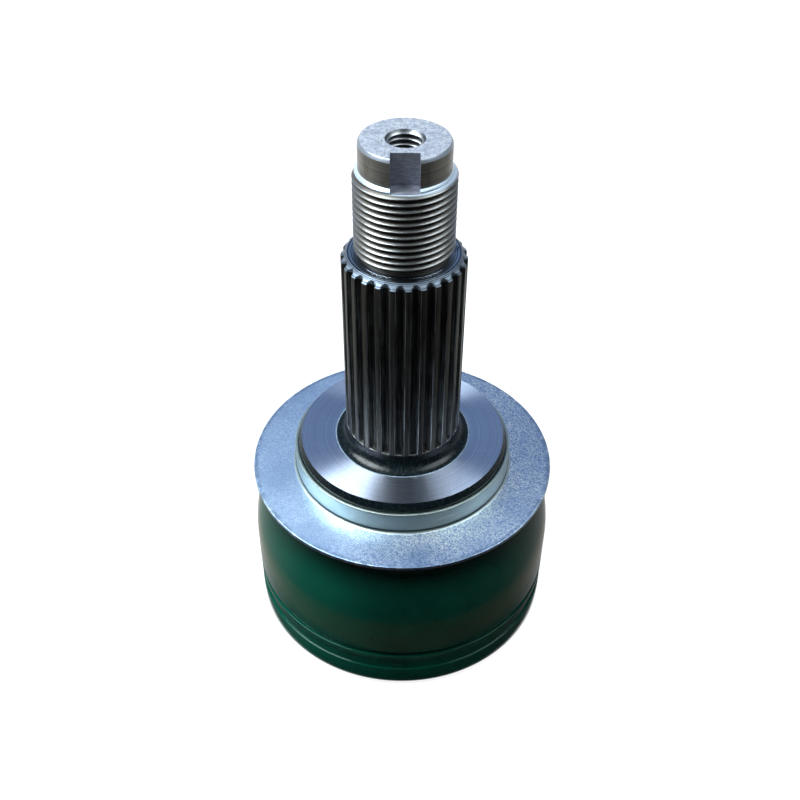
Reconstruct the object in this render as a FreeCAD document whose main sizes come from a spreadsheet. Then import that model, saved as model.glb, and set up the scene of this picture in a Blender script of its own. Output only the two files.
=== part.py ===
import FreeCAD, Part
import math
import os
import Sketcher
from FreeCAD import Vector

# Millimetres and degrees. The origin is the middle of the mouth plane that the joint stands on,
# +Z runs up the stem, and the slot in the nose faces -Y. Heights are above the mouth plane.
dimensions = {
    # bell of the outer race, outside
    "bell_diameter": 76.5,
    "rim_chamfer": 1.35,
    "crown_start": 23.0,
    "crown_radius": 40.0,
    "shoulder_height": 43.6,
    "shoulder_fillet": 6.0,
    "boot_groove_height": 11.7,
    "boot_groove_width": 1.7,
    "boot_groove_depth": 0.8,
    "clamp_groove_height": 6.5,
    "clamp_groove_width": 3.6,
    "clamp_groove_depth": 0.45,
    # seat of the deflector and the bearing face
    "seat_diameter": 51.8,
    "seat_chamfer": 1.5,
    "face_height": 52.7,
    "face_outer_diameter": 50.2,
    "face_inner_diameter": 33.2,
    # stem
    "neck_diameter": 26.8,
    "spline_start": 56.6,
    "spline_end": 103.85,
    "spline_major_diameter": 27.8,
    "spline_root_diameter": 25.6,
    "spline_teeth": 26,
    "spline_root_space": 0.8,
    "spline_flank_angle": 34.5,
    "spline_phase": 10.8,
    "spline_tool_radius": 3.2,
    "spline_end_chamfer": 1.4,
    "undercut_diameter": 20.0,
    "undercut_width": 1.8,
    "thread_diameter": 22.0,
    "thread_length": 17.05,
    "thread_pitch": 1.5,
    "thread_crest": 0.1875,
    "thread_depth": 0.92,
    "thread_flank_angle": 30.0,
    "thread_last_groove": 1.05,
    "nose_diameter": 19.5,
    "nose_length": 6.2,
    "nose_chamfer": 0.4,
    "slot_width": 6.0,
    "slot_depth": 7.1,
    "slot_back": 6.2,
    "centre_hole_diameter": 6.8,
    "centre_hole_depth": 24.0,
    "centre_hole_chamfer": 0.4,
    "drill_point_angle": 118.0,
    # cavity of the bell
    "joint_centre": 22.0,
    "bore_sphere_diameter": 57.0,
    "cavity_height": 46.5,
    "throat_diameter": 52.2,
    "flare_diameter": 68.0,
    "flare_height": 9.0,
    # balls and their tracks
    "ball_diameter": 15.081,
    "ball_count": 6,
    "pitch_radius": 26.0,
    "track_offset": 3.2,
    "track_clearance": 0.12,
    "articulation_limit": 42.0,
    "track_end_margin": 1.5,
    # cage
    "cage_clearance": 0.1,
    "cage_width": 24.6,
    "window_clearance": 0.3,
    "window_slack": 1.3,
    "window_corner": 4.5,
    # inner race and its circlip
    "race_sphere_diameter": 48.0,
    "race_mouth_side": 9.6,
    "race_stem_side": 12.4,
    "shaft_bore_diameter": 21.0,
    "shaft_spline_diameter": 23.0,
    "shaft_spline_teeth": 21,
    "shaft_spline_space": 0.95,
    "shaft_flank_angle": 30.0,
    "bore_chamfer": 1.3,
    "clip_wire_diameter": 2.0,
    "clip_ring_diameter": 24.0,
    "clip_gap_angle": 34.0,
    "clip_position": 6.0,
    "clip_clearance": 0.1,
    "clip_room": 0.3,
    # dust deflector
    "sheet_thickness": 0.9,
    "flange_diameter": 74.95,
    "collar_height": 6.75,
    "collar_foot_radius": 0.9,
}

# how far a cut runs past the face that it opens, and how far the run-out and the tracks are swept
overrun = 1.0
run_out_sweep = 60
mouth_sweep = "60 deg"
# the most of the shoulder's flat that its fillet may take
flat_share = 0.9

doc = FreeCAD.newDocument("cv_joint")


def fill_sheet():
    sheet = doc.addObject("Spreadsheet::Sheet", "sizes")
    for row, (alias, number) in enumerate(dimensions.items(), start=1):
        sheet.set(f"A{row}", alias)
        sheet.set(f"B{row}", str(number))
        sheet.setAlias(f"B{row}", alias)
    doc.recompute()
    return sheet


sizes = fill_sheet()


def measure(expression):
    """The number that an expression over the sheet comes to now."""
    return float(sizes.evalExpression(expression.replace("sizes.", "")))


# Radii and heights that several pieces share, as expressions over the sheet
bell_r = "(sizes.bell_diameter / 2)"
seat_r = "(sizes.seat_diameter / 2)"
neck_r = "(sizes.neck_diameter / 2)"
major_r = "(sizes.spline_major_diameter / 2)"
root_r = "(sizes.spline_root_diameter / 2)"
thread_r = "(sizes.thread_diameter / 2)"
undercut_r = "(sizes.undercut_diameter / 2)"
nose_r = "(sizes.nose_diameter / 2)"
hole_r = "(sizes.centre_hole_diameter / 2)"
stem_step = "(sizes.spline_end + sizes.spline_end_chamfer)"
thread_start = f"({stem_step} + sizes.undercut_width)"
thread_end = f"({thread_start} + sizes.thread_length)"
nose_base = f"({thread_end} + {thread_r} - {nose_r})"
nose_top = f"({nose_base} + sizes.nose_length)"
crown_top_r = (
    f"({bell_r} - sizes.crown_radius + sqrt(sizes.crown_radius ^ 2"
    " - (sizes.shoulder_height - sizes.crown_start) ^ 2))"
)
ball_r = "(sizes.ball_diameter / 2)"
groove_r = f"({ball_r} + sizes.track_clearance)"
track_r = "(sqrt(sizes.pitch_radius ^ 2 + sizes.track_offset ^ 2))"
track_end = (
    "(atan(sizes.track_offset / sizes.pitch_radius) + 1 deg"
    " * (sizes.articulation_limit / 2 + sizes.track_end_margin))"
)
bore_sphere_r = "(sizes.bore_sphere_diameter / 2)"
race_sphere_r = "(sizes.race_sphere_diameter / 2)"
cage_outer_r = f"({bore_sphere_r} - sizes.cage_clearance)"
cage_inner_r = f"({race_sphere_r} + sizes.cage_clearance)"
shaft_bore_r = "(sizes.shaft_bore_diameter / 2)"
shaft_spline_r = "(sizes.shaft_spline_diameter / 2)"


def at_height(radius, height):
    """Distance from the axis of a sphere's surface at a height above its centre."""
    return f"sqrt({radius} ^ 2 - ({height}) ^ 2)"


def add_body(label):
    body = doc.addObject("PartDesign::Body", label)
    body.Label = label
    return body


def origin_part(body, role):
    return next(part for part in body.Origin.OriginFeatures if part.Role == role)


def add_sketch(body, name, plane, height=None, turn=None):
    sketch = body.newObject("Sketcher::SketchObject", name)
    sketch.AttachmentSupport = (origin_part(body, plane), [""])
    sketch.MapMode = "FlatFace"
    if height:
        sketch.setExpression("AttachmentOffset.Base.z", height)
    if turn:
        sketch.AttachmentOffset = FreeCAD.Placement(Vector(), Vector(0, 0, 1), 0)
        sketch.setExpression("AttachmentOffset.Rotation.Angle", turn)
    return sketch


def pin_point(sketch, geometry, end, x, y):
    """Ties a point of the sketch to its two coordinates, or to an axis where one is zero."""
    for axis, expression, axis_line in (("X", x, -2), ("Y", y, -1)):
        if expression == "0":
            sketch.addConstraint(Sketcher.Constraint("PointOnObject", geometry, end, axis_line))
            continue
        index = sketch.addConstraint(
            Sketcher.Constraint("Distance" + axis, -1, 1, geometry, end, measure(expression))
        )
        sketch.setExpression(f"Constraints[{index}]", expression)


def pin_radius(sketch, geometry, radius):
    index = sketch.addConstraint(Sketcher.Constraint("Radius", geometry, measure(radius)))
    sketch.setExpression(f"Constraints[{index}]", radius)


def arc_between(start, end, radius, turn):
    """A short arc from start to end, turning left for turn 1 and right for turn -1."""
    half = (end - start) / 2
    left = Vector(-half.y, half.x, 0).normalize()
    centre = start + half + left * (turn * math.sqrt(radius**2 - half.Length**2))
    first, last = (start, end) if turn > 0 else (end, start)
    angles = [math.atan2(spot.y - centre.y, spot.x - centre.x) for spot in (first, last)]
    return Part.ArcOfCircle(Part.Circle(centre, Vector(0, 0, 1), radius), *angles)


def draw_outline(sketch, corners):
    """A closed outline. A corner is (x, y), or (x, y, radius, turn) where an arc leads to the next."""
    spots = [Vector(measure(corner[0]), measure(corner[1]), 0) for corner in corners]
    sides = []
    for index, corner in enumerate(corners):
        start, end = spots[index], spots[(index + 1) % len(spots)]
        if len(corner) == 2:
            side = sketch.addGeometry(Part.LineSegment(start, end), False)
            sides.append((side, 1, 2))
            continue
        radius, turn = corner[2:]
        side = sketch.addGeometry(arc_between(start, end, measure(radius), turn), False)
        sides.append((side, 1, 2) if turn > 0 else (side, 2, 1))
        pin_radius(sketch, side, radius)
    for index, (side, start_end, _) in enumerate(sides):
        before, _, before_end = sides[index - 1]
        sketch.addConstraint(Sketcher.Constraint("Coincident", before, before_end, side, start_end))
        pin_point(sketch, side, start_end, *corners[index][:2])


def draw_circle(sketch, x, y, radius):
    spot = Vector(measure(x), measure(y), 0)
    circle = sketch.addGeometry(Part.Circle(spot, Vector(0, 0, 1), measure(radius)), False)
    pin_point(sketch, circle, 3, x, y)
    pin_radius(sketch, circle, radius)


def add_feature(body, kind, name, sketch, **settings):
    feature = body.newObject("PartDesign::" + kind, name)
    feature.Profile = sketch
    for key, setting in settings.items():
        setattr(feature, key, setting)
    return feature


def turn_profile(body, kind, name, corners):
    """A full turn of an outline in the XZ plane about the axis of the stem."""
    sketch = add_sketch(body, name + "_profile", "XZ_Plane")
    draw_outline(sketch, corners)
    return add_feature(body, kind, name, sketch, ReferenceAxis=(sketch, ["V_Axis"]), Angle=360)


def repeat_around(body, name, features, count):
    pattern = body.newObject("PartDesign::PolarPattern", name)
    pattern.Originals = features
    pattern.Axis = (origin_part(body, "Z_Axis"), [""])
    pattern.Angle = 360
    pattern.setExpression("Occurrences", count)
    body.Tip = pattern
    return pattern


def circles_at(shape, radius, height):
    """Names of a shape's round edges of one radius at one height."""
    found = []
    for index, edge in enumerate(shape.Edges, start=1):
        curve = edge.Curve
        if isinstance(curve, Part.Circle) and math.isclose(curve.Radius, radius, abs_tol=1e-4):
            if math.isclose(curve.Center.z, height, abs_tol=1e-4):
                found.append(f"Edge{index}")
    return found


def cut_tracks(body, centre_height, end_angle):
    """Ball tracks of round section, bent about a centre off the middle of the joint.

    The first lies over +Y. It is open towards the mouth, and end_angle is where it stops on the other side.
    """
    section = add_sketch(body, "track_section", "XY_Plane", height=centre_height)
    draw_circle(section, "0", track_r, groove_r)
    track = add_feature(
        body, "Groove", "ball_track", section, ReferenceAxis=(section, ["H_Axis"]), Type="TwoAngles"
    )
    track.setExpression("Angle", end_angle)
    track.setExpression("Angle2", mouth_sweep)
    return track


def build_outer_race():
    body = add_body("outer_race")
    turn_profile(
        body,
        "Revolution",
        "forging",
        [
            ("0", "0"),
            (f"{bell_r} - sizes.rim_chamfer", "0"),
            (bell_r, "sizes.rim_chamfer"),
            (bell_r, "sizes.crown_start", "sizes.crown_radius", 1),
            (crown_top_r, "sizes.shoulder_height"),
            (seat_r, "sizes.shoulder_height"),
            (seat_r, "sizes.face_height - sizes.seat_chamfer"),
            ("sizes.face_outer_diameter / 2", "sizes.face_height"),
            (
                "sizes.face_inner_diameter / 2",
                "sizes.face_height",
                f"sizes.face_inner_diameter / 2 - {neck_r}",
                -1,
            ),
            (neck_r, f"sizes.face_height + sizes.face_inner_diameter / 2 - {neck_r}"),
            (neck_r, "sizes.spline_start"),
            (major_r, f"sizes.spline_start + {major_r} - {neck_r}"),
            (major_r, "sizes.spline_end"),
            (f"{major_r} - sizes.spline_end_chamfer", stem_step),
            (undercut_r, stem_step),
            (undercut_r, f"{thread_start} - ({thread_r} - {undercut_r})"),
            (thread_r, thread_start),
            (thread_r, thread_end),
            (nose_r, nose_base),
            (nose_r, f"{nose_top} - 2 * sizes.nose_chamfer"),
            (f"{nose_r} - sizes.nose_chamfer", nose_top),
            ("0", nose_top),
        ],
    )
    doc.recompute()
    round_shoulder(body)
    cut_thread(body)
    cut_boot_grooves(body)
    hollow_bell(body)
    cut_outer_tracks(body)
    cut_stub_spline(body)
    cut_nose(body)
    return body


def round_shoulder(body):
    """The fillet from the crown to the flat that the flange lies on. Some of the flat is always left."""
    forging = body.Tip
    rounding = body.newObject("PartDesign::Fillet", "shoulder_rounding")
    corner = circles_at(forging.Shape, measure(crown_top_r), measure("sizes.shoulder_height"))
    rounding.Base = (forging, corner)
    bend = "(90 deg - asin((sizes.shoulder_height - sizes.crown_start) / sizes.crown_radius))"
    widest = f"{flat_share} * ({crown_top_r} - {seat_r}) / tan({bend} / 2)"
    rounding.setExpression("Radius", f"min(sizes.shoulder_fillet; {widest})")


def cut_thread(body):
    """Rings of the thread's form, a pitch apart, in place of its helix. The last is nearest the nose."""
    outside_r = f"{thread_r} + {overrun}"
    middle = f"{thread_end} - sizes.thread_last_groove"
    half_mouth = "((sizes.thread_pitch - sizes.thread_crest) / 2)"
    slope = "tan(sizes.thread_flank_angle * 1 deg)"
    half_floor = f"({half_mouth} - sizes.thread_depth * {slope})"
    half_outside = f"({half_mouth} + {overrun} * {slope})"
    last = turn_profile(
        body,
        "Groove",
        "thread_groove",
        [
            (f"{thread_r} - sizes.thread_depth", f"{middle} - {half_floor}"),
            (outside_r, f"{middle} - {half_outside}"),
            (outside_r, f"{middle} + {half_outside}"),
            (f"{thread_r} - sizes.thread_depth", f"{middle} + {half_floor}"),
        ],
    )
    pattern = body.newObject("PartDesign::LinearPattern", "thread")
    pattern.Originals = [last]
    pattern.Direction = (origin_part(body, "Z_Axis"), [""])
    pattern.Reversed = True
    room = f"(sizes.thread_length - sizes.thread_last_groove - {half_mouth})"
    steps = f"floor({room} / sizes.thread_pitch)"
    pattern.setExpression("Occurrences", f"{steps} + 1")
    pattern.setExpression("Length", f"{steps} * sizes.thread_pitch")
    body.Tip = pattern


def cut_boot_grooves(body):
    """The narrow groove that the boot's bead sits in, and the wide shallow one for its clamp."""
    for groove in ("boot", "clamp"):
        floor_r = f"{bell_r} - sizes.{groove}_groove_depth"
        low = f"sizes.{groove}_groove_height"
        high = f"{low} + sizes.{groove}_groove_width"
        outside = f"{bell_r} + {overrun}"
        turn_profile(
            body,
            "Groove",
            groove + "_groove",
            [(floor_r, low), (outside, low), (outside, high), (floor_r, high)],
        )


def hollow_bell(body):
    """The cavity: a flared mouth, a short throat and the sphere that guides the cage."""
    throat_r = "(sizes.throat_diameter / 2)"
    throat_top = f"sizes.joint_centre - {at_height(bore_sphere_r, throat_r)}"
    ceiling_r = at_height(bore_sphere_r, "sizes.cavity_height - sizes.joint_centre")
    turn_profile(
        body,
        "Groove",
        "cavity",
        [
            ("0", "0"),
            ("sizes.flare_diameter / 2", "0"),
            (throat_r, "sizes.flare_height"),
            (throat_r, throat_top, bore_sphere_r, 1),
            (ceiling_r, "sizes.cavity_height"),
            ("0", "sizes.cavity_height"),
        ],
    )


def cut_outer_tracks(body):
    """Six tracks about a centre nearer the mouth, each ending in the form of its ball-nosed cutter."""
    centre_height = "sizes.joint_centre - sizes.track_offset"
    track = cut_tracks(body, centre_height, track_end)
    repeat_around(body, "ball_tracks", [track], "sizes.ball_count")
    end = body.newObject("PartDesign::SubtractiveSphere", "track_end")
    end.AttachmentSupport = (origin_part(body, "XY_Plane"), [""])
    end.MapMode = "FlatFace"
    end.setExpression("Radius", groove_r)
    end.setExpression("AttachmentOffset.Base.y", f"{track_r} * cos({track_end})")
    end.setExpression("AttachmentOffset.Base.z", f"{centre_height} + {track_r} * sin({track_end})")
    repeat_around(body, "track_ends", [end], "sizes.ball_count")


def spline_space(sketch, inner_r, outer_r, inner_width, outer_width):
    """One space between teeth, pointing along -Y, with straight flanks in place of the involute."""
    draw_outline(
        sketch,
        [
            (f"-({inner_width}) / 2", f"-({inner_r})"),
            (f"-({outer_width}) / 2", f"-({outer_r})"),
            (f"({outer_width}) / 2", f"-({outer_r})"),
            (f"({inner_width}) / 2", f"-({inner_r})"),
        ],
    )


def cut_stub_spline(body):
    """Teeth with open tops. Each space runs out at the foot on the arc of its forming tool."""
    outer_r = f"{major_r} + {overrun}"
    outer_width = (
        f"sizes.spline_root_space + 2 * ({outer_r} - {root_r}) * tan(sizes.spline_flank_angle * 1 deg)"
    )
    runout = (
        f"sqrt(sizes.spline_tool_radius ^ 2 - (sizes.spline_tool_radius - {major_r} + {root_r}) ^ 2)"
    )
    sketch = add_sketch(
        body,
        "spline_space",
        "XY_Plane",
        height=f"sizes.spline_start + {major_r} - {neck_r} + {runout}",
        turn="sizes.spline_phase * 1 deg",
    )
    spline_space(sketch, root_r, outer_r, "sizes.spline_root_space", outer_width)
    axis_y = f"-({root_r} + sizes.spline_tool_radius)"
    half = measure(outer_width)
    level = measure(axis_y)
    axis = sketch.addGeometry(Part.LineSegment(Vector(-half, level, 0), Vector(half, level, 0)), True)
    pin_point(sketch, axis, 1, f"-({outer_width})", axis_y)
    pin_point(sketch, axis, 2, outer_width, axis_y)
    cut = add_feature(body, "Pocket", "tooth_space", sketch, Type="ThroughAll", Reversed=True)
    repeat_around(body, "stub_spline", [cut], "sizes.spline_teeth")
    foot = add_feature(
        body, "Groove", "tooth_run_out", sketch, ReferenceAxis=(sketch, ["Axis0"]), Reversed=True
    )
    foot.Angle = run_out_sweep
    repeat_around(body, "spline_run_out", [foot], "sizes.spline_teeth")


def cut_nose(body):
    """The slot that the nut is staked into, and the tapped hole at its tapping drill's size."""
    floor = f"{nose_top} - sizes.slot_depth"
    sketch = add_sketch(body, "slot_outline", "XY_Plane", height=floor)
    side = "sizes.slot_width / 2"
    front = f"-({thread_r} + {overrun})"
    back = "-sizes.slot_back"
    draw_outline(sketch, [(f"-{side}", front), (side, front), (side, back), (f"-{side}", back)])
    add_feature(body, "Pocket", "nose_slot", sketch, Type="ThroughAll", Reversed=True)
    bottom = f"{nose_top} - sizes.centre_hole_depth"
    turn_profile(
        body,
        "Groove",
        "centre_hole",
        [
            ("0", nose_top),
            ("0", f"{bottom} - {hole_r} / tan(sizes.drill_point_angle * 0.5 deg)"),
            (hole_r, bottom),
            (hole_r, f"{nose_top} - sizes.centre_hole_chamfer"),
            (f"{hole_r} + sizes.centre_hole_chamfer", nose_top),
        ],
    )


def build_dust_deflector():
    """Collar and flange of one sheet, pushed down on the seat until the flange lies on the shoulder."""
    body = add_body("dust_deflector")
    low = "sizes.shoulder_height"
    top = f"({low} + sizes.collar_height)"
    sheet = "sizes.sheet_thickness"
    bend = "(sizes.collar_foot_radius + sizes.sheet_thickness)"
    flange_r = "sizes.flange_diameter / 2"
    turn_profile(
        body,
        "Revolution",
        "pressing",
        [
            (seat_r, top),
            (seat_r, f"{low} + {bend}", bend, 1),
            (f"{seat_r} + {bend}", low),
            (flange_r, low),
            (flange_r, f"{low} + {sheet}"),
            (f"{seat_r} + {bend}", f"{low} + {sheet}", "sizes.collar_foot_radius", -1),
            (f"{seat_r} + {sheet}", f"{low} + {bend}"),
            (f"{seat_r} + {sheet}", top),
        ],
    )
    return body


def build_cage():
    """A ring between two spheres, with a rounded window for each ball."""
    body = add_body("cage")
    body.setExpression("Placement.Base.z", "sizes.joint_centre")
    half = "sizes.cage_width / 2"
    turn_profile(
        body,
        "Revolution",
        "ring",
        [
            (at_height(cage_outer_r, half), f"-{half}", cage_outer_r, 1),
            (at_height(cage_outer_r, half), half),
            (at_height(cage_inner_r, half), half, cage_inner_r, -1),
            (at_height(cage_inner_r, half), f"-{half}"),
        ],
    )
    sketch = add_sketch(body, "window_outline", "XZ_Plane")
    wide = f"({ball_r} + sizes.window_slack)"
    tall = f"({ball_r} + sizes.window_clearance)"
    corner = "sizes.window_corner"
    draw_outline(
        sketch,
        [
            (f"{corner} - {wide}", f"-{tall}"),
            (f"{wide} - {corner}", f"-{tall}", corner, 1),
            (wide, f"{corner} - {tall}"),
            (wide, f"{tall} - {corner}", corner, 1),
            (f"{wide} - {corner}", tall),
            (f"{corner} - {wide}", tall, corner, 1),
            (f"-{wide}", f"{tall} - {corner}"),
            (f"-{wide}", f"{corner} - {tall}", corner, 1),
        ],
    )
    window = add_feature(body, "Pocket", "ball_window", sketch, Type="ThroughAll")
    repeat_around(body, "ball_windows", [window], "sizes.ball_count")
    return body


def build_inner_race():
    """The star: part of a sphere with six tracks about a centre nearer the stem, and a splined bore."""
    body = add_body("inner_race")
    body.setExpression("Placement.Base.z", "sizes.joint_centre")
    low, high = "-sizes.race_mouth_side", "sizes.race_stem_side"
    chamfer_r = f"{shaft_bore_r} + sizes.bore_chamfer"
    turn_profile(
        body,
        "Revolution",
        "star_blank",
        [
            (at_height(race_sphere_r, "sizes.race_mouth_side"), low, race_sphere_r, 1),
            (at_height(race_sphere_r, "sizes.race_stem_side"), high),
            (chamfer_r, high),
            (shaft_bore_r, f"{high} - sizes.bore_chamfer"),
            (shaft_bore_r, f"{low} + sizes.bore_chamfer"),
            (chamfer_r, low),
        ],
    )
    track = cut_tracks(body, "sizes.track_offset", mouth_sweep)
    repeat_around(body, "ball_tracks", [track], "sizes.ball_count")
    cut_shaft_spline(body)
    cut_clip_groove(body)
    return body


def cut_shaft_spline(body):
    """Spaces for the teeth of the drive shaft, wide at the bore and narrow at their roots."""
    sketch = add_sketch(body, "shaft_spline_space", "XY_Plane", height="-sizes.race_mouth_side")
    inner_r = f"{shaft_bore_r} - {overrun}"
    mouth_width = (
        f"sizes.shaft_spline_space + 2 * ({shaft_spline_r} - {inner_r}) * tan(sizes.shaft_flank_angle * 1 deg)"
    )
    spline_space(sketch, inner_r, shaft_spline_r, mouth_width, "sizes.shaft_spline_space")
    cut = add_feature(body, "Pocket", "shaft_tooth_space", sketch, Type="ThroughAll", Reversed=True)
    repeat_around(body, "shaft_spline", [cut], "sizes.shaft_spline_teeth")


def cut_clip_groove(body):
    reach = "(sizes.clip_ring_diameter / 2 + sizes.clip_wire_diameter / 2 + sizes.clip_room)"
    half = "(sizes.clip_wire_diameter / 2 + sizes.clip_clearance)"
    inside = f"{shaft_bore_r} - {overrun}"
    low, high = f"-sizes.clip_position - {half}", f"{half} - sizes.clip_position"
    turn_profile(
        body,
        "Groove",
        "clip_groove",
        [(inside, low), (reach, low), (reach, high), (inside, high)],
    )


def build_retaining_circlip():
    """A round wire ring, open at one place, that springs into the groove of the drive shaft."""
    body = add_body("retaining_circlip")
    body.setExpression("Placement.Base.z", "sizes.joint_centre")
    sketch = add_sketch(body, "wire_section", "XZ_Plane")
    draw_circle(sketch, "sizes.clip_ring_diameter / 2", "-sizes.clip_position", "sizes.clip_wire_diameter / 2")
    wire = add_feature(body, "Revolution", "wire_ring", sketch, ReferenceAxis=(sketch, ["V_Axis"]))
    wire.setExpression("Angle", "360 deg - sizes.clip_gap_angle * 1 deg")
    return body


def build_balls():
    """Balls on the pitch circle, the first over +Y like the first track."""
    balls = []
    for index in range(int(measure("sizes.ball_count"))):
        ball = doc.addObject("Part::Sphere", f"ball_{index + 1}")
        ball.Label = ball.Name
        azimuth = f"(90 deg + {index} * 360 deg / sizes.ball_count)"
        ball.setExpression("Radius", ball_r)
        ball.setExpression("Placement.Base.x", f"sizes.pitch_radius * cos({azimuth})")
        ball.setExpression("Placement.Base.y", f"sizes.pitch_radius * sin({azimuth})")
        ball.setExpression("Placement.Base.z", "sizes.joint_centre")
        balls.append(ball)
    return balls


def check_cuts(body):
    """Every groove, pocket and pattern of a body has to take metal away."""
    volume = None
    for feature in body.Group:
        if not feature.isDerivedFrom("PartDesign::Feature"):
            continue
        if volume is not None and feature.Shape.Volume > volume - 1e-3:
            raise RuntimeError(f"{body.Label}: {feature.Name} removes nothing")
        volume = feature.Shape.Volume


def check_document(parts):
    for thing in doc.Objects:
        if any(word in thing.State for word in ("Invalid", "Error")):
            raise RuntimeError(f"{thing.Name} is {thing.State}")
    for part in parts:
        shape = part.Shape
        if shape.isNull() or not shape.isValid() or len(shape.Solids) != 1:
            raise RuntimeError(f"{part.Label} is not one sound solid")
        if part.isDerivedFrom("PartDesign::Body"):
            check_cuts(part)
        print(f"{part.Label}: {shape.Volume:.1f} mm3, {len(shape.Faces)} faces")


parts = [
    build_outer_race(),
    build_dust_deflector(),
    build_cage(),
    build_inner_race(),
    build_retaining_circlip(),
] + build_balls()
doc.recompute()
check_document(parts)

os.makedirs("parts", exist_ok=True)
for part in parts:
    part.Shape.exportStep(f"parts/{part.Label}.step")
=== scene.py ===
import math

import bmesh
import bpy
import numpy as np
from mathutils import Matrix, Vector


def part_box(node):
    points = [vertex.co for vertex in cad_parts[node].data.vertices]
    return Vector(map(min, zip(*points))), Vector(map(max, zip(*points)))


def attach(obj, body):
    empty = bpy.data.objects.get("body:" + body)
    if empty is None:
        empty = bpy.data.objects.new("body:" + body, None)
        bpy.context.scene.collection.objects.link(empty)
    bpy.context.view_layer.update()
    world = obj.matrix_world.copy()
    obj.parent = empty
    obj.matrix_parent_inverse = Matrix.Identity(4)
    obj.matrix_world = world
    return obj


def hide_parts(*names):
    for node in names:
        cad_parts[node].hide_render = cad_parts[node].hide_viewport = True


# The wheel-side CV joint standing on its mouth, stem up. Dictionaries hold millimetres and degrees.
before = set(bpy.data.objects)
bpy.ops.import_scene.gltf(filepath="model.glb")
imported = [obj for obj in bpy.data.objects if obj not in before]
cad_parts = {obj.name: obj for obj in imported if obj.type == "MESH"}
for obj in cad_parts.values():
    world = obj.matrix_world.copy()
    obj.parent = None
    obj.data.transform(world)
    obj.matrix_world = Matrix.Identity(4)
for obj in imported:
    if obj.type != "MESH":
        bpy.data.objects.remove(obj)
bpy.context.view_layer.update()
mm = 0.001
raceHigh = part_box("outer_race")[1] / mm
flangeLow, flangeHigh = (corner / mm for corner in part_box("dust_deflector"))
print("frame loaded:", len(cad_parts), "nodes")


# Mesh helpers. An outline is a list of (r, z) in millimetres that is turned about the stem's axis.

def softenCorners(corners, steps=4):
    spots = [np.array(corner[:2], float) for corner in corners]
    outline = []
    for index, corner in enumerate(corners):
        here = spots[index]
        if len(corner) == 2:
            outline.append(here)
            continue
        before = spots[index - 1] - here
        after = spots[(index + 1) % len(spots)] - here
        cut = min(corner[2], 0.45 * np.linalg.norm(before), 0.45 * np.linalg.norm(after))
        start = here + before / np.linalg.norm(before) * cut
        end = here + after / np.linalg.norm(after) * cut
        for share in np.linspace(0, 1, steps + 1):
            outline.append((1 - share) ** 2 * start + 2 * share * (1 - share) * here + share**2 * end)
    return outline


def arcSpots(centre, radius, startAngle, endAngle, steps):
    angles = np.radians(np.linspace(startAngle, endAngle, steps + 1))
    return [(centre[0] + radius * math.cos(a), centre[1] + radius * math.sin(a)) for a in angles]


def ringAt(radius, height, angles):
    radius = np.broadcast_to(radius, angles.shape)
    height = np.broadcast_to(height, angles.shape)
    return np.stack([radius * np.cos(angles), radius * np.sin(angles), height], axis=1)


def evenAngles(columns):
    return np.arange(columns) * 2 * math.pi / columns


class Draft:
    # Vertices and faces of one piece, gathered ring by ring
    def __init__(self):
        self.points = []
        self.faces = []
        self.zones = []
        self.count = 0

    def addPoints(self, points):
        first = self.count
        self.points.append(np.asarray(points, float).reshape(-1, 3))
        self.count += len(self.points[-1])
        return first

    def addFace(self, corners, zone=0):
        self.faces.append(corners)
        self.zones.append(zone)

    def joinRings(self, low, high, columns, zone=0):
        for k in range(columns):
            after = (k + 1) % columns
            self.addFace((low + k, low + after, high + after, high + k), zone)

    def addRings(self, rings, zones=None, loop=False):
        firsts = [self.addPoints(ring) for ring in rings]
        pairs = list(zip(firsts, firsts[1:]))
        if loop:
            pairs.append((firsts[-1], firsts[0]))
        for index, (low, high) in enumerate(pairs):
            self.joinRings(low, high, len(rings[0]), zones[index] if zones else 0)
        return firsts[0], firsts[-1]

    def closeAt(self, ring, columns, height, zone=0):
        centre = self.addPoints([(0, 0, height)])
        for k in range(columns):
            self.addFace((ring + k, ring + (k + 1) % columns, centre), zone)

    def toMesh(self, name, sharpAngle=32):
        mesh = bpy.data.meshes.new(name)
        mesh.from_pydata((np.concatenate(self.points) * mm).tolist(), [], self.faces)
        mesh.polygons.foreach_set("material_index", self.zones)
        return tidyMesh(mesh, sharpAngle)


def tidyMesh(mesh, sharpAngle):
    # merges what lies together, turns every face outwards and marks the sharp edges
    work = bmesh.new()
    work.from_mesh(mesh)
    bmesh.ops.remove_doubles(work, verts=work.verts, dist=1e-6)
    bmesh.ops.dissolve_degenerate(work, edges=work.edges, dist=1e-7)
    bmesh.ops.recalc_face_normals(work, faces=work.faces)
    work.to_mesh(mesh)
    work.free()
    mesh.shade_smooth()
    mesh.set_sharp_from_angle(angle=math.radians(sharpAngle))
    return mesh


def turnedRings(outline, columns, start=0.0):
    angles = evenAngles(columns) + start
    return [ringAt(r, z, angles) for r, z in outline]


def addObject(name, data):
    item = bpy.data.objects.new(name, data)
    bpy.context.scene.collection.objects.link(item)
    return item


def addPiece(mesh, name, materials, body, nodes):
    piece = addObject(name, mesh)
    for material in materials:
        mesh.materials.append(material)
    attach(piece, body)
    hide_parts(*nodes)
    return piece


# Shader helpers

def addNode(tree, kind, inputs=None, **settings):
    node = tree.nodes.new("ShaderNode" + kind)
    for key, value in settings.items():
        setattr(node, key, value)
    for key, value in (inputs or {}).items():
        if isinstance(value, bpy.types.NodeSocket):
            tree.links.new(value, node.inputs[key])
        else:
            node.inputs[key].default_value = value
    return node


def math2(tree, operation, first, second=0.0):
    return addNode(tree, "Math", {0: first, 1: second}, operation=operation).outputs[0]


def times(tree, first, *others):
    for other in others:
        first = math2(tree, "MULTIPLY", first, other)
    return first


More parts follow.
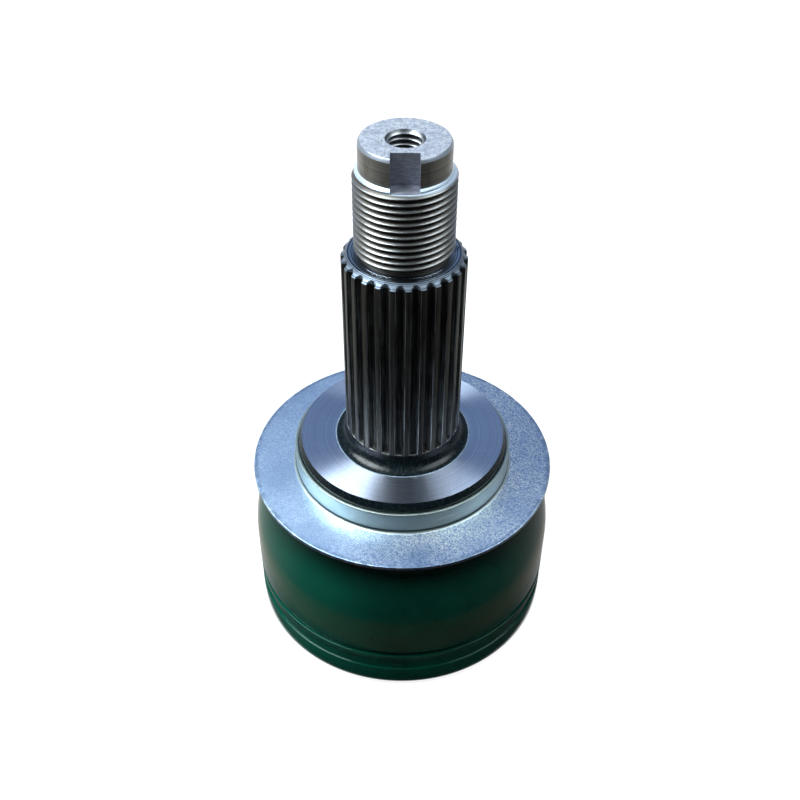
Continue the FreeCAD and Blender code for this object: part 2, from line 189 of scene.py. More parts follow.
def rangeOf(tree, value, low, high, toLow=0.0, toHigh=1.0):
    inputs = {"Value": value, "From Min": low, "From Max": high, "To Min": toLow, "To Max": toHigh}
    return addNode(tree, "MapRange", inputs, interpolation_type="SMOOTHSTEP").outputs["Result"]


def bandOf(tree, value, rise, fall):
    # 1 between rise and fall, each a pair of places where the edge begins and ends
    return times(tree, rangeOf(tree, value, *rise), rangeOf(tree, value, *reversed(fall)))


def mixColour(tree, factor, first, second, blend="MIX"):
    # sockets 0, 6 and 7 of the Mix node are its factor and its two colours, output 2 is the result
    node = addNode(tree, "Mix", {0: factor, 6: first, 7: second}, data_type="RGBA", blend_type=blend)
    return node.outputs[2]


def stretched(tree, place, scales):
    return addNode(tree, "VectorMath", {0: place, 1: scales}, operation="MULTIPLY").outputs[0]


def noiseOf(tree, place, scale, detail=2.0, roughness=0.5, **settings):
    inputs = {"Scale": scale, "Detail": detail, "Roughness": roughness}
    inputs["W" if settings.get("noise_dimensions") == "1D" else "Vector"] = place
    return addNode(tree, "TexNoise", inputs, **settings).outputs[0]


def rgb(red, green, blue):
    return (red, green, blue, 1.0)


def startGroup(name, inputs, outputs):
    # inputs and outputs give the kind of each socket by its name
    tree = bpy.data.node_groups.new(name, "ShaderNodeTree")
    for side, sockets in (("INPUT", inputs), ("OUTPUT", outputs)):
        for label, kind in sockets.items():
            tree.interface.new_socket(label, in_out=side, socket_type="NodeSocket" + kind)
    return tree, tree.nodes.new("NodeGroupInput").outputs, tree.nodes.new("NodeGroupOutput").inputs


def useGroup(tree, group, **inputs):
    return addNode(tree, "Group", inputs, node_tree=group).outputs


def startMaterial(name, **values):
    material = bpy.data.materials.new(name)
    material.use_nodes = True
    tree = material.node_tree
    shader = tree.nodes["Principled BSDF"]
    for key, value in values.items():
        shader.inputs[key.replace("_", " ")].default_value = value
    return material, tree, useGroup(tree, partPlace)


# Shared effects. Places are in millimetres in the part's own frame, so the scales are per millimetre.

def makePartPlace():
    outputs = {"Place": "Vector", "Radius": "Float", "Height": "Float"}
    tree, _, out = startGroup("partPlace", {}, outputs)
    place = addNode(tree, "TexCoord").outputs["Object"]
    scaled = addNode(tree, "VectorMath", {0: place, "Scale": 1 / mm}, operation="SCALE").outputs[0]
    axes = addNode(tree, "SeparateXYZ", {0: scaled}).outputs
    flat = addNode(tree, "CombineXYZ", {0: axes[0], 1: axes[1]}).outputs[0]
    radius = addNode(tree, "VectorMath", {0: flat}, operation="LENGTH").outputs["Value"]
    tree.links.new(scaled, out["Place"])
    tree.links.new(radius, out["Radius"])
    tree.links.new(axes[2], out["Height"])
    return tree


def makeTurningLines():
    # lines that a lathe tool leaves: Along is the distance in millimetres across them
    inputs = {"Along": "Float", "Pitch": "Float"}
    tree, given, out = startGroup("turningLines", inputs, {"Lines": "Float"})
    step = math2(tree, "DIVIDE", given["Along"], given["Pitch"])
    fine = noiseOf(tree, step, 1.0, 2.0, noise_dimensions="1D")
    broad = noiseOf(tree, times(tree, step, 0.2), 1.0, 1.0, noise_dimensions="1D")
    mixed = math2(tree, "ADD", times(tree, fine, 0.65), times(tree, broad, 0.35))
    tree.links.new(rangeOf(tree, mixed, 0.3, 0.7), out["Lines"])
    return tree


def makeHairScratches():
    # thin random lines where a stretched noise crosses its middle, kept only in patches
    inputs = {"Place": "Vector", "Density": "Float", "Width": "Float"}
    tree, given, out = startGroup("hairScratches", inputs, {"Marks": "Float"})
    marks = None
    for turn, stretch in ((0.4, (0.16, 1.3, 1.3)), (1.7, (1.1, 0.12, 1.1)), (2.6, (0.2, 1.6, 0.9))):
        lean = (turn * 0.4, turn * 0.2, turn)
        mapping = {"Vector": given["Place"], "Rotation": lean, "Scale": stretch}
        turned = addNode(tree, "Mapping", mapping).outputs[0]
        wave = noiseOf(tree, turned, 0.9, 1.0)
        offset = math2(tree, "ABSOLUTE", math2(tree, "SUBTRACT", wave, 0.5))
        line = math2(tree, "LESS_THAN", offset, given["Width"])
        patch = math2(tree, "LESS_THAN", noiseOf(tree, turned, 0.37, 0.0), given["Density"])
        line = times(tree, line, patch)
        marks = line if marks is None else math2(tree, "MAXIMUM", marks, line)
    tree.links.new(marks, out["Marks"])
    return tree


def makeOilFilm():
    # patchy film of preserving oil: 0 where the metal is dry, 1 where it is wet
    inputs = {"Place": "Vector", "Patch": "Float", "Amount": "Float"}
    tree, given, out = startGroup("oilFilm", inputs, {"Film": "Float"})
    scale = math2(tree, "DIVIDE", 1.0, given["Patch"])
    cloud = noiseOf(tree, stretched(tree, given["Place"], (1, 1, 0.6)), scale, 4.0, 0.6)
    level = math2(tree, "SUBTRACT", 1.0, given["Amount"])
    film = rangeOf(tree, cloud, math2(tree, "SUBTRACT", level, 0.12), math2(tree, "ADD", level, 0.12))
    tree.links.new(film, out["Film"])
    return tree


def makeFineGrain():
    # crystals of a plated or pickled surface: each cell has its own shade and lean
    inputs, outputs = {"Place": "Vector", "Size": "Float"}, {"Shade": "Float", "Height": "Float"}
    tree, given, out = startGroup("fineGrain", inputs, outputs)
    scale = math2(tree, "DIVIDE", 1.0, given["Size"])
    cells = addNode(tree, "TexVoronoi", {"Vector": given["Place"], "Scale": scale})
    shade = addNode(tree, "SeparateColor", {0: cells.outputs["Color"]}).outputs[0]
    cloud = noiseOf(tree, given["Place"], scale, 3.0, 0.65)
    tree.links.new(shade, out["Shade"])
    mixed = math2(tree, "ADD", times(tree, shade, 0.4), cloud)
    tree.links.new(mixed, out["Height"])
    return tree


partPlace = makePartPlace()
turningLines = makeTurningLines()
hairScratches = makeHairScratches()
oilFilm = makeOilFilm()
fineGrain = makeFineGrain()
print("shared shader groups made")


def linesOn(tree, along, pitch):
    return useGroup(tree, turningLines, Along=along, Pitch=pitch)["Lines"]


def scratchesOn(tree, place, density, width):
    return useGroup(tree, hairScratches, Place=place, Density=density, Width=width)["Marks"]


def filmOn(tree, place, patch, amount):
    return useGroup(tree, oilFilm, Place=place, Patch=patch, Amount=amount)["Film"]


def finishLook(material, colour, rough, height, distance, turned=False):
    # turned stretches the shine across lines that run round the stem
    tree = material.node_tree
    shader = tree.nodes["Principled BSDF"].inputs
    tree.links.new(colour, shader["Base Color"])
    tree.links.new(rough, shader["Roughness"])
    bump = addNode(tree, "Bump", {"Height": height, "Distance": distance * mm}).outputs[0]
    tree.links.new(bump, shader["Normal"])
    if turned:
        tangent = addNode(tree, "Tangent", direction_type="RADIAL", axis="Z").outputs[0]
        tree.links.new(tangent, shader["Tangent"])
    return material


# Green lacquer on the forging

lacquer = {
    "deep": rgb(0.0008, 0.024, 0.016),
    "light": rgb(0.0016, 0.035, 0.022),
    "patch": 14.0,
    "paintedLeftLight": rgb(0.0018, 0.066, 0.042),
    "paintedLeftSpan": (4.0, -34.0),
    "dust": rgb(0.03, 0.075, 0.06),
    "grime": rgb(0.0004, 0.005, 0.0045),
    "paintedShadeHeight": (31.0, 41.0),
    "bare": rgb(0.002, 0.005, 0.007),
    "soiled": rgb(0.005, 0.010, 0.011),
    "bareHeight": (50.6, 51.0),
    "lip": rgb(0.34, 0.44, 0.54),
    "lipRadius": 16.6,
    "peelSize": 1.6,
    "peelDepth": 0.010,
}


def makeGreenLacquer():
    # lacquer up to the seat, painted a lighter green toward the left where the light falls and painted
    # darker toward the shoulder as shade; the ring round the face and the neck are bare, dark and oily,
    # with a painted highlight round the face's inner edge
    material, tree, spot = startMaterial("greenLacquer", Specular_IOR_Level=0.32, IOR=1.5)
    place = spot["Place"]
    cloud = noiseOf(tree, place, 1 / lacquer["patch"], 3.0, 0.55)
    colour = mixColour(tree, rangeOf(tree, cloud, 0.35, 0.65), lacquer["deep"], lacquer["light"])
    # painted light: the left side of the bell is painted a lighter green, as the light falls from the left
    across = addNode(tree, "SeparateXYZ", {0: place}).outputs[0]
    colour = mixColour(tree, rangeOf(tree, across, *lacquer["paintedLeftSpan"]), colour, lacquer["paintedLeftLight"])
    dusty = rangeOf(tree, noiseOf(tree, place, 2.2, 4.0, 0.7), 0.66, 0.74, 0.0, 0.2)
    colour = mixColour(tree, dusty, colour, lacquer["dust"])
    # painted shade: the lacquer darkens toward the shoulder, under the deflector's flange
    grime = rangeOf(tree, spot["Height"], *lacquer["paintedShadeHeight"], 0.0, 0.75)
    colour = mixColour(tree, grime, colour, lacquer["grime"])
    bare = rangeOf(tree, spot["Height"], *lacquer["bareHeight"])
    soil = rangeOf(tree, noiseOf(tree, place, 1.1, 4.0, 0.7), 0.4, 0.7)
    oily = mixColour(tree, soil, lacquer["bare"], lacquer["soiled"])
    colour = mixColour(tree, bare, colour, oily)
    # painted highlight: a thin pale line round the inner edge of the bearing face
    lip = lacquer["lipRadius"]
    edge = bandOf(tree, spot["Radius"], (lip - 0.35, lip - 0.05), (lip + 0.3, lip + 0.6))
    edge = times(tree, edge, rangeOf(tree, soil, 0.0, 1.0, 0.9, 0.4), bare)
    colour = mixColour(tree, edge, colour, lacquer["lip"])
    film = filmOn(tree, place, 9.0, 0.45)
    rough = rangeOf(tree, film, 0.0, 1.0, 0.13, 0.06)
    rough = math2(tree, "ADD", rough, times(tree, bare, rangeOf(tree, soil, 0.0, 1.0, 0.12, 0.24)))
    peel = noiseOf(tree, place, 1 / lacquer["peelSize"], 2.0, 0.4)
    sag = noiseOf(tree, place, 0.11, 1.0, 0.4)
    height = math2(tree, "ADD", peel, times(tree, sag, 6.0))
    return finishLook(material, colour, rough, height, lacquer["peelDepth"])


# Bare turned steel. Lines run round the stem, a pitch apart along the radius or the height.

turnedLooks = {
    "turnedFace": {
        "dark": rgb(0.42, 0.47, 0.60),
        "light": rgb(0.60, 0.66, 0.80),
        "film": rgb(0.46, 0.50, 0.62),
        "filmAmount": 0.3,
        "roughness": 0.36,
        "anisotropy": 0.95,
        "along": "Radius",
        "pitch": 0.09,
        "lineDepth": 0.0015,
        "scratches": 0.35,
    },
    "cavitySteel": {
        "dark": rgb(0.36, 0.36, 0.37),
        "light": rgb(0.52, 0.52, 0.53),
        "film": rgb(0.22, 0.21, 0.19),
        "filmAmount": 0.4,
        "roughness": 0.36,
        "anisotropy": 0.3,
        "along": "Height",
        "pitch": 0.3,
        "lineDepth": 0.004,
        "scratches": 0.15,
    },
    "stepSteel": {
        "dark": rgb(0.010, 0.014, 0.022),
        "light": rgb(0.52, 0.60, 0.72),
        "film": rgb(0.014, 0.018, 0.026),
        "filmAmount": 0.35,
        "roughness": 0.16,
        "anisotropy": 0.4,
        "along": "Radius",
        "pitch": 0.22,
        "lineDepth": 0.05,
        "scratches": 0.0,
    },
}


def makeTurnedSteel(name):
    look = turnedLooks[name]
    material, tree, spot = startMaterial(
        name, Metallic=1.0, Anisotropic=look["anisotropy"], Anisotropic_Rotation=0.25
    )
    lines = linesOn(tree, spot[look["along"]], look["pitch"])
    colour = mixColour(tree, lines, look["dark"], look["light"])
    film = filmOn(tree, spot["Place"], 5.0, look["filmAmount"])
    colour = mixColour(tree, film, colour, look["film"])
    marks = scratchesOn(tree, spot["Place"], 0.48, 0.006)
    colour = mixColour(tree, times(tree, marks, look["scratches"]), colour, rgb(0.85, 0.87, 0.9))
    rough = rangeOf(tree, lines, 0.0, 1.0, look["roughness"] + 0.06, look["roughness"] - 0.04)
    height = math2(tree, "ADD", lines, times(tree, marks, -1.4 * look["scratches"]))
    return finishLook(material, colour, rough, height, look["lineDepth"], turned=True)


greenLacquer = makeGreenLacquer()
turnedFace = makeTurnedSteel("turnedFace")
cavitySteel = makeTurnedSteel("cavitySteel")
stepSteel = makeTurnedSteel("stepSteel")


# The bell of the outer race: lacquered outside, bare where the balls run

bell = {
    "columns": 288,
    "radius": raceHigh.x,
    "rimChamfer": 1.35,
    "crownStart": 23.0,
    "crownRadius": 40.0,
    "shoulder": flangeLow.z,
    "shoulderFillet": 6.0,
    "grooves": ((6.5, 3.6, 0.45), (11.7, 1.7, 0.8)),
    "seatRadius": 25.9,
    "seatChamfer": 1.5,
    "face": 52.7,
    "faceRadius": 25.1,
    "faceInner": 16.6,
    "neckRadius": 13.4,
    "neckTop": 56.6,
}
cavity = {
    "centre": 22.0,
    "sphere": 28.5,
    "ceiling": 46.5,
    "throat": 26.1,
    "mouth": 34.0,
    "flare": 9.0,
    "trackCentre": 18.8,
    "trackRadius": math.hypot(26.0, 3.2),
    "grooveRadius": 7.6605,
    "trackEnd": math.atan2(3.2, 26.0) + math.radians(22.5),
    "trackColumns": 28,
    "landColumns": 10,
    "mouthHalf": 17.5,
    "leastHalf": 2.5,
    "trackOpens": 3.9,
    "domeStart": 10.6,
    "lacquerTo": 1.2,
}


def cavityRadius(z):
    throatTop = cavity["centre"] - math.sqrt(cavity["sphere"] ** 2 - cavity["throat"] ** 2)
    if z < cavity["flare"]:
        return cavity["mouth"] + (cavity["throat"] - cavity["mouth"]) * z / cavity["flare"]
    if z < throatTop:
        return cavity["throat"]
    return math.sqrt(cavity["sphere"] ** 2 - (z - cavity["centre"]) ** 2)


def trackDepth(z, turn):
    # distance from the axis to the wall of a track, at an angle turn off the track's middle
    rise = z - cavity["trackCentre"]
    big, small, end = cavity["trackRadius"], cavity["grooveRadius"], cavity["trackEnd"]
    cosine = np.cos(turn)
    spread = rise**2 + big**2 - small**2
    half = spread - 2 * (big * cosine) ** 2
    inside = half**2 - spread**2 + 4 * (big * rise) ** 2
    swept = np.sqrt(np.maximum(-half + np.sqrt(np.maximum(inside, 0)), 0))
    swept = np.where((inside >= 0) & (np.arctan2(rise, swept * cosine) <= end), swept, 0)
    endRise, endReach = rise - big * math.sin(end), big * math.cos(end)
    inside = (cosine * endReach) ** 2 - endReach**2 - endRise**2 + small**2
    ball = np.where(inside >= 0, cosine * endReach + np.sqrt(np.maximum(inside, 0)), 0)
    return np.maximum(swept, ball)


def trackHalf(z):
    # half the angle that a track takes of the wall at this height
    # columns stand evenly round the mouth and gather toward the tracks below where these open
    low, high = 0.0, math.radians(30)
    if trackDepth(z, np.array([0.0]))[0] <= cavityRadius(z):
        share = min(z / cavity["trackOpens"], 1)
        return math.radians((1 - share) * cavity["mouthHalf"] + share * cavity["leastHalf"])
    for _ in range(30):
        middle = (low + high) / 2
        if trackDepth(z, np.array([middle]))[0] > cavityRadius(z):
            low = middle
        else:
            high = middle
    return max(low, math.radians(cavity["leastHalf"]))


def cavityRing(z):
    half = trackHalf(z)
    sixth = math.pi / 6
    land = np.linspace(half, sixth, cavity["landColumns"], endpoint=False)
    track = np.linspace(-half, half, cavity["trackColumns"], endpoint=False)
    nextLand = np.linspace(sixth, 2 * sixth - half, cavity["landColumns"], endpoint=False)
    sector = np.concatenate([track, land, nextLand])
    turn = np.where(sector > sixth, sector - 2 * sixth, sector)
    radius = np.maximum(cavityRadius(z), np.where(np.abs(turn) < half, trackDepth(z, turn), 0))
    angles = np.concatenate([sector + math.pi / 2 + k * 2 * sixth for k in range(6)])
    return ringAt(np.tile(radius, 6), z, angles)


def bellOutline():
    b = bell
    corners = [(cavity["mouth"] + 0.01, 0.0), (b["radius"] - b["rimChamfer"], 0.0, 0.3)]
    corners.append((b["radius"], b["rimChamfer"], 0.4))
    for height, width, depth in b["grooves"]:
        floor = b["radius"] - depth
        corners += [(b["radius"], height, 0.16), (floor, height, 0.1)]
        corners += [(floor, height + width, 0.1), (b["radius"], height + width, 0.16)]
    outline = softenCorners(corners + [(b["radius"], b["crownStart"])])
    crown = (b["radius"] - b["crownRadius"], b["crownStart"])
    filletZ = b["shoulder"] - b["shoulderFillet"]
    reach = b["crownRadius"] - b["shoulderFillet"]
    filletR = crown[0] + math.sqrt(reach**2 - (filletZ - crown[1]) ** 2)
    meeting = math.degrees(math.asin((filletZ - crown[1]) / reach))
    outline += arcSpots(crown, b["crownRadius"], 0, meeting, 24)[1:]
    outline += arcSpots((filletR, filletZ), b["shoulderFillet"], meeting, 90, 14)[1:]
    top = [(b["seatRadius"], b["shoulder"], 0.2), (b["seatRadius"], b["face"] - b["seatChamfer"], 0.25)]
    top += [(b["faceRadius"], b["face"], 0.08), (20.0, b["face"]), (b["faceInner"] + 0.3, b["face"])]
    outline += softenCorners([outline[-1]] + top)[1:]
    neck = b["faceInner"] - b["neckRadius"]
    outline += arcSpots((b["faceInner"], b["face"] + neck), neck, 270, 180, 14)
    outline.append((b["neckRadius"], b["neckTop"]))
    return outline


def bellZone(first, second):
    # 1 is the bare bearing face, 0 is lacquer
    flat = abs(first[1] - bell["face"]) < 0.02 and abs(second[1] - bell["face"]) < 0.02
    return 1 if flat else 0


def buildBell():
    outline = bellOutline()
    rings = turnedRings(outline, bell["columns"], math.radians(90 - cavity["mouthHalf"]))
    zones = [bellZone(*pair) for pair in zip(outline, outline[1:])]
    draft = Draft()
    mouth, neck = draft.addRings(rings, zones)
    draft.closeAt(neck, bell["columns"], bell["neckTop"])
    flare = np.linspace(0, cavity["flare"], 16)
    throat = np.linspace(cavity["flare"], cavity["domeStart"], 4)[1:]
    dome = np.linspace(cavity["domeStart"], cavity["ceiling"], 62)[1:]
    heights = np.concatenate([flare, throat, dome])
    inner = [cavityRing(z) for z in heights]
    innerZones = [0 if z < cavity["lacquerTo"] else 2 for z in heights[:-1]]
    start, end = draft.addRings(inner, innerZones)
    draft.joinRings(mouth, start, bell["columns"])
    draft.closeAt(end, bell["columns"], cavity["ceiling"], 2)
    mesh = draft.toMesh("lacqueredBell", 30)
    finishes = [greenLacquer, turnedFace, cavitySteel]
    return addPiece(mesh, "lacqueredBell", finishes, "outer_race", ["outer_race"])


buildBell()
print("bell built")


# Stub axle: rolled spline teeth that run out at the foot, with a turned chamfer at their ends

spline = {
    "teeth": 26,
    "phase": -90.0 + 10.8,
    "major": 13.9,
    "root": 12.8,
    "rootHalf": 0.4,
    "flankAngle": 34.5,
    "toolRadius": 3.2,
    "foot": 56.6,
    "end": 103.85,
    "chamfer": 1.4,
    "undercut": 10.0,
    "tipSoft": 0.16,
    "rootSoft": 0.3,
}


def toothSection():
    # one pitch from the middle of a tooth to the middle of the next, as angles and radii
    s = spline
    slope = math.tan(math.radians(s["flankAngle"]))
    top = s["major"]
    for _ in range(20):
        side = s["rootHalf"] + (top - s["root"]) * slope
        top = math.sqrt(s["major"] ** 2 - side**2)
    halfPitch = math.pi / s["teeth"]
    shares = [halfPitch * share for share in (-1, -0.8, 0.8, 1)]
    tips = [(s["major"] * math.sin(turn), s["major"] * math.cos(turn)) for turn in shares]
    corners = tips[:2] + [(-side, top, s["tipSoft"]), (-s["rootHalf"], s["root"], s["rootSoft"])]
    corners += [(s["rootHalf"], s["root"], s["rootSoft"]), (side, top, s["tipSoft"])] + tips[2:]
    spots = np.array(softenCorners(corners, 5))[:-1]
    return np.arctan2(spots[:, 0], spots[:, 1]), np.hypot(spots[:, 0], spots[:, 1])


def stemEnvelope(z):
    s = spline
    low = bell["neckRadius"] + z - s["foot"]
    high = s["major"] - (z - s["end"])
    return min(max(low, bell["neckRadius"]), s["major"], high)


def buildStem():
    s = spline
    turns, section = toothSection()
    step = 2 * math.pi / s["teeth"]
    base = math.radians(s["phase"])
    angles = np.concatenate([base - turns[::-1] + step * k for k in range(s["teeth"])])
    radii = np.tile(section[::-1], s["teeth"])
    runStart = s["foot"] + s["major"] - bell["neckRadius"]
    lift = s["toolRadius"] - (s["major"] - s["root"])
    runEnd = runStart + math.sqrt(s["toolRadius"] ** 2 - lift**2)
    foot = np.linspace(s["foot"] - 0.4, runEnd, 34)
    shaft = np.linspace(runEnd, s["end"] - 0.1, 14)[1:]
    chamfer = np.linspace(s["end"] - 0.1, s["end"] + s["chamfer"], 30)[1:]
    rings = []
    for z in np.concatenate([foot, shaft, chamfer]):
        below = min(max(runEnd - z, 0), s["toolRadius"])
        floor = s["root"] + s["toolRadius"] - math.sqrt(s["toolRadius"] ** 2 - below**2)
        rings.append(ringAt(np.minimum(np.maximum(radii, floor), stemEnvelope(z)), z, angles))
    top = s["end"] + s["chamfer"]
    shaftRings = len(rings)
    edge = s["major"] - s["chamfer"]
    outline = softenCorners([(edge, top - 0.05), (edge, top, 0.12), (s["undercut"] - 0.2, top)], 3)
    rings += [ringAt(r, z, angles) for r, z in outline[1:]]
    zones = [0] * (shaftRings - 1) + [1] * (len(rings) - shaftRings)
    draft = Draft()
    first, last = draft.addRings(rings, zones)
    draft.closeAt(first, len(angles), s["foot"] - 0.4)
    draft.closeAt(last, len(angles), top, 1)
    mesh = draft.toMesh("splinedStem", 30)
    finishes = [oiledTeeth, stepSteel]
    return addPiece(mesh, "splinedStem", finishes, "outer_race", ["outer_race"])


teethLook = {
    "dark": rgb(0.035, 0.035, 0.034),
    "light": rgb(0.16, 0.165, 0.15),
    "oil": rgb(0.020, 0.016, 0.011),
    "root": rgb(0.012, 0.011, 0.010),
    "land": rgb(0.085, 0.075, 0.062),
    "edge": rgb(0.42, 0.44, 0.45),
    "endDark": rgb(0.012, 0.016, 0.026),
    "endLight": rgb(0.30, 0.36, 0.44),
    "endPitch": 0.15,
}


def makeOiledTeeth():
    # streaks along dark rolled flanks, roots darkened as oil and as painted shade, brown lands with
    # painted highlights along their edges, and bare turned ends
    look, major = teethLook, spline["major"]
    material, tree, spot = startMaterial("oiledTeeth", Metallic=0.9, Anisotropic=0.35)
    radius = spot["Radius"]
    streaks = noiseOf(tree, stretched(tree, spot["Place"], (1, 1, 0.03)), 2.6, 4.0, 0.6)
    colour = mixColour(tree, rangeOf(tree, streaks, 0.38, 0.66), look["dark"], look["light"])
    film = filmOn(tree, spot["Place"], 7.0, 0.45)
    colour = mixColour(tree, times(tree, film, 0.6), colour, look["oil"])
    # the tooth roots are darker, partly as oil and partly as painted shade in the grooves
    root = rangeOf(tree, radius, spline["root"] + 0.35, spline["root"] + 0.05, 0.0, 0.6)
    colour = mixColour(tree, root, colour, look["root"])
    land = rangeOf(tree, radius, major - 0.06, major - 0.02)
    land = times(tree, land, rangeOf(tree, streaks, 0.40, 0.6, 0.35, 0.8))
    colour = mixColour(tree, land, colour, look["land"])
    # painted highlight: thin bright lines along both edges of each tooth
    edge = bandOf(tree, radius, (major - 0.2, major - 0.12), (major - 0.06, major - 0.02))
    edge = times(tree, edge, rangeOf(tree, streaks, 0.40, 0.58, 0.15, 0.9))
    colour = mixColour(tree, edge, colour, look["edge"])
    ends = rangeOf(tree, spot["Height"], spline["end"] - 0.02, spline["end"] + 0.06)
    lines = linesOn(tree, spot["Height"], look["endPitch"])
    colour = mixColour(tree, ends, colour, mixColour(tree, lines, look["endDark"], look["endLight"]))
    rough = rangeOf(tree, streaks, 0.3, 0.7, 0.34, 0.5)
    height = math2(tree, "ADD", streaks, times(tree, lines, ends, 3.5))
    return finishLook(material, colour, rough, height, 0.012, turned=True)


oiledTeeth = makeOiledTeeth()
buildStem()
print("splined stem built")


# Undercut, M22 thread, nose with its slot, and the M8 hole

thread = {
    "columns": 192,
    "radius": 11.0,
    "pitch": 1.5,
    "crestZ": 123.8,
    "base": 105.0,
    "neckTop": 106.05,
    "start": 107.05,
    "end": 124.1,
    "noseBase": 125.35,
    "noseRadius": 9.75,
    "noseChamfer": 0.4,
}
hole = {
    "radius": 3.4,
    "major": 3.95,
    "pitch": 1.25,
    "mouth": 4.15,
    "mouthDepth": 0.7,
    "threadDepth": 14.0,
    "depth": 24.0,
}
slot = {"half": 3.0, "depth": 7.1, "back": 6.2, "cutFrom": 14.0}


def threadDrop(share, pitch):
    # how far the thread form lies below its crest
    away = np.abs(share - np.round(share)) * pitch
    drop = (away - pitch / 16) * math.tan(math.radians(60))
    return np.clip(drop, 0, 0.6134 * pitch)


def addThread(draft, lowZ, highZ, pitch, crestZ, columns, radiusAt, zone=0):
    # rows follow the helix, at shares of the pitch from its crest
    # what passes the ends is gathered on them
    side = np.array([0.0, 0.045, 0.075, 0.11, 0.2, 0.3, 0.385, 0.42, 0.455])
    shares = np.concatenate([side, 1 - side[:0:-1]])
    rows = len(shares)
    turns = math.ceil((highZ - lowZ) / pitch) + 2
    firstCrest = crestZ - math.ceil((crestZ - lowZ) / pitch + 1) * pitch
    bases = np.concatenate([firstCrest + (k + shares) * pitch for k in range(turns + 1)])
    phases = np.concatenate([k + shares for k in range(turns + 1)])
    angles = evenAngles(columns)
    heights = bases[:, None] + pitch * (angles[None, :] / (2 * math.pi) - 0.75)
    clamped = np.clip(heights, lowZ, highZ)
    points = []
    for row in range(len(bases)):
        radius = radiusAt(phases[row], clamped[row])
        points.append(ringAt(radius, clamped[row], angles))
    first = draft.addPoints(np.concatenate(points))
    out = (heights <= lowZ) * 1 + (heights >= highZ) * 2
    for row in range(len(bases) - rows - 1):
        for k in range(columns):
            jump = rows if k == columns - 1 else 0
            after = (k + 1) % columns
            spots = [(row, k), (row + jump, after), (row + jump + 1, after), (row + 1, k)]
            marks = {out[spot] for spot in spots}
            if marks == {1} or marks == {2}:
                continue
            draft.addFace(tuple(first + r * columns + c for r, c in spots), zone)


def stubEnvelope(z):
    t = thread
    rise = spline["undercut"] + np.maximum(z - t["neckTop"], 0)
    fall = t["radius"] - np.maximum(z - t["end"], 0)
    return np.minimum(np.minimum(rise, fall), t["radius"])


def buildThreadedEnd():
    t = thread
    columns = t["columns"]
    angles = evenAngles(columns)
    top = raceHigh.z
    mouthBase = top - hole["mouthDepth"]
    draft = Draft()
    neck = (t["base"], t["base"] + 0.5, t["neckTop"])
    foot, _ = draft.addRings([ringAt(spline["undercut"], z, angles) for z in neck])
    draft.closeAt(foot, columns, t["base"])

    def outside(phase, z):
        return np.minimum(t["radius"] - threadDrop(phase, t["pitch"]), stubEnvelope(z))

    addThread(draft, t["neckTop"], t["noseBase"], t["pitch"], t["crestZ"], columns, outside)
    radius, chamfer = t["noseRadius"], t["noseChamfer"]
    corners = [(radius, t["noseBase"]), (radius, 128.0), (radius, top - 2 * chamfer, 0.15)]
    corners += [(radius - chamfer, top, 0.15), (8.0, top), (6.2, top), (5.0, top)]
    corners += [(hole["mouth"], top, 0.06), (hole["radius"] + 0.05, mouthBase)]
    nose = softenCorners(corners, 3)
    wall, rim = radius - chamfer - 0.05, hole["mouth"] + 0.05
    noseZones = [1 if spot[0] > wall else 2 if spot[0] > rim else 3 for spot in nose[:-1]]
    draft.addRings([ringAt(r, z, angles) for r, z in nose], noseZones)

    def inside(phase, z):
        depth = np.minimum(hole["major"], hole["radius"] + threadDrop(phase, hole["pitch"]))
        ease = np.clip(z - top + hole["threadDepth"], 0, 1) * np.clip((mouthBase - z) / 0.4, 0, 1)
        return hole["radius"] + 0.05 + (depth - hole["radius"]) * ease

    threadBase, bottom = top - hole["threadDepth"], top - hole["depth"]
    addThread(draft, threadBase, mouthBase, hole["pitch"], top - 1.3, columns, inside, 3)
    wall = [(hole["radius"] + 0.05, threadBase), (hole["radius"], bottom), (1.7, bottom - 1.02)]
    _, last = draft.addRings([ringAt(r, z, angles) for r, z in wall], [3, 3])
    draft.closeAt(last, columns, bottom - 2.04, 3)
    mesh = draft.toMesh("threadedEnd", 30)
    piece = addPiece(mesh, "threadedEnd", stubFinishes, "outer_race", ["outer_race"])
    cutSlot(piece)
    return piece


def cutSlot(piece):
    top = raceHigh.z
    low = top - slot["depth"]
    work = bmesh.new()
    bmesh.ops.create_cube(work, size=1)
    for vert in work.verts:
        vert.co.x *= 2 * slot["half"] * mm
        vert.co.y = -(slot["back"] if vert.co.y > 0 else slot["cutFrom"]) * mm
        vert.co.z = (top + 1 if vert.co.z > 0 else low) * mm
    cutterMesh = bpy.data.meshes.new("slotCutter")
    work.to_mesh(cutterMesh)
    work.free()
    cutter = addObject("slotCutter", cutterMesh)
    cut = piece.modifiers.new("slot", "BOOLEAN")
    cut.operation = "DIFFERENCE"
    cut.object = cutter
    cut.solver = "EXACT"
    bpy.context.view_layer.update()
    graph = bpy.context.evaluated_depsgraph_get()
    mesh = bpy.data.meshes.new_from_object(piece.evaluated_get(graph))
    piece.modifiers.clear()
    piece.data = mesh
    mesh.name = "threadedEndCut"
    mesh.set_sharp_from_angle(angle=math.radians(30))
    for face in mesh.polygons:
        x, y, z = face.center / mm
        inside = abs(x) < slot["half"] + 0.01 and y < 0.01 - slot["back"] and z > low - 0.01
        if inside and math.hypot(x, y) < thread["noseRadius"] - 0.05 and z < top - 0.05:
            face.material_index = 4
    bpy.data.objects.remove(cutter)


